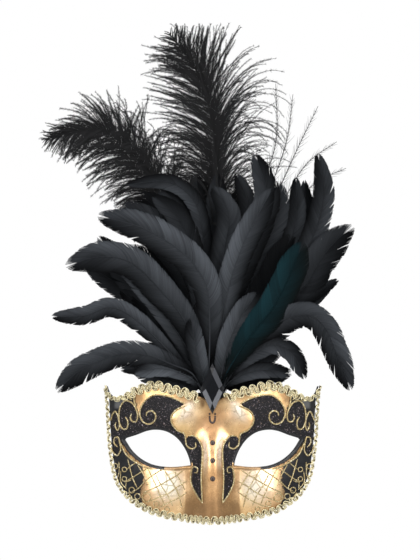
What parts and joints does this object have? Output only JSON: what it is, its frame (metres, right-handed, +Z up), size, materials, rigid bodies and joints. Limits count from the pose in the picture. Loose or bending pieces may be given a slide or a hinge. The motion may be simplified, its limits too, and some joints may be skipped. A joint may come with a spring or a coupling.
{
  "type": "masquerade half mask",
  "caption": "Venetian half mask: curved gold shell with black glitter panels, raised scrolls, braid edging, a faceted brow gem and a tall fan of black feathers.",
  "frame": {"origin": "midway between the wearer's eyes, on the plane of the forehead before the nose stands out of it", "axes": "+X to the right seen from the front, the mask faces -Y, +Z up along the plume"},
  "size_m": [0.2437, 0.0904, 0.3704],
  "materials": {
    "shell_gold": "moulded plastic shell with rubbed gold foil paint outside and black paint inside",
    "glitter_black": "black paint with fine glitter",
    "glitter_gold": "raised pale gold glitter paste",
    "braid_gold": "metallic gold gimp braid",
    "jewel_black": "polished black acrylic stone",
    "setting_black": "dark backing plate",
    "bead_bronze": "bronze brown paint dots",
    "feather_black": "dyed rooster tail feather, satin sheen",
    "feather_sheen": "dyed rooster tail feather with a blue green sheen",
    "ostrich_black": "dyed ostrich barbs",
    "quill_black": "dyed quill",
    "felt_black": "black felt",
    "thread_black": "black binding thread",
    "lug_black": "black lug"
  },
  "bodies": {
    "root": {"cheek_lattice_left": "glitter_gold", "cheek_lattice_right": "glitter_gold", "drop_loop": "bead_bronze", "edge_braid": "braid_gold", "feather_centre_01": "feather_black", "feather_centre_02": "feather_black", "feather_centre_03": "feather_black", "feather_centre_04": "feather_black", "feather_centre_05": "feather_black", "feather_front_left": "feather_black", "feather_front_right": "feather_black", "feather_left_01": "feather_black", "feather_left_02": "feather_black", "feather_left_03": "feather_black", "feather_left_04": "feather_black", "feather_left_05": "feather_black", "feather_left_06": "feather_black", "feather_left_07": "feather_black", "feather_left_08": "feather_black", "feather_left_09": "feather_black", "feather_left_10": "feather_black", "feather_left_11": "feather_black", "feather_left_12": "feather_black", "feather_left_13": "feather_black", "feather_left_14": "feather_black", "feather_right_01": "feather_sheen", "feather_right_02": "feather_black", "feather_right_03": "feather_black", "feather_right_04": "feather_black", "feather_right_05": "feather_black", "feather_right_06": "feather_black", "feather_right_07": "feather_black", "feather_right_08": "feather_black", "feather_right_09": "feather_black", "feather_right_10": "feather_black", "feather_right_11": "feather_black", "feather_right_12": "feather_black", "feather_right_13": "feather_black", "feather_tuft": "feather_black", "feather_under_left": "feather_black", "feather_under_right": "feather_black", "glitter_panel_left": "glitter_black", "glitter_panel_right": "glitter_black", "jewel": "jewel_black", "jewel_setting": "setting_black", "mask_shell": "shell_gold", "nose_dots": "bead_bronze", "ostrich_side_quill": "quill_black", "ostrich_side_vane": "ostrich_black", "ostrich_tall_quill": "quill_black", "ostrich_tall_vane": "ostrich_black", "plume_pad": "felt_black", "scroll_relief_left": "glitter_gold", "scroll_relief_right": "glitter_gold", "spine_spray": "quill_black", "stem_binding": "thread_black", "tie_loop_left": "lug_black", "tie_loop_right": "lug_black", "top_braid_left": "braid_gold", "top_braid_right": "braid_gold"}
  },
  "joints": []
}
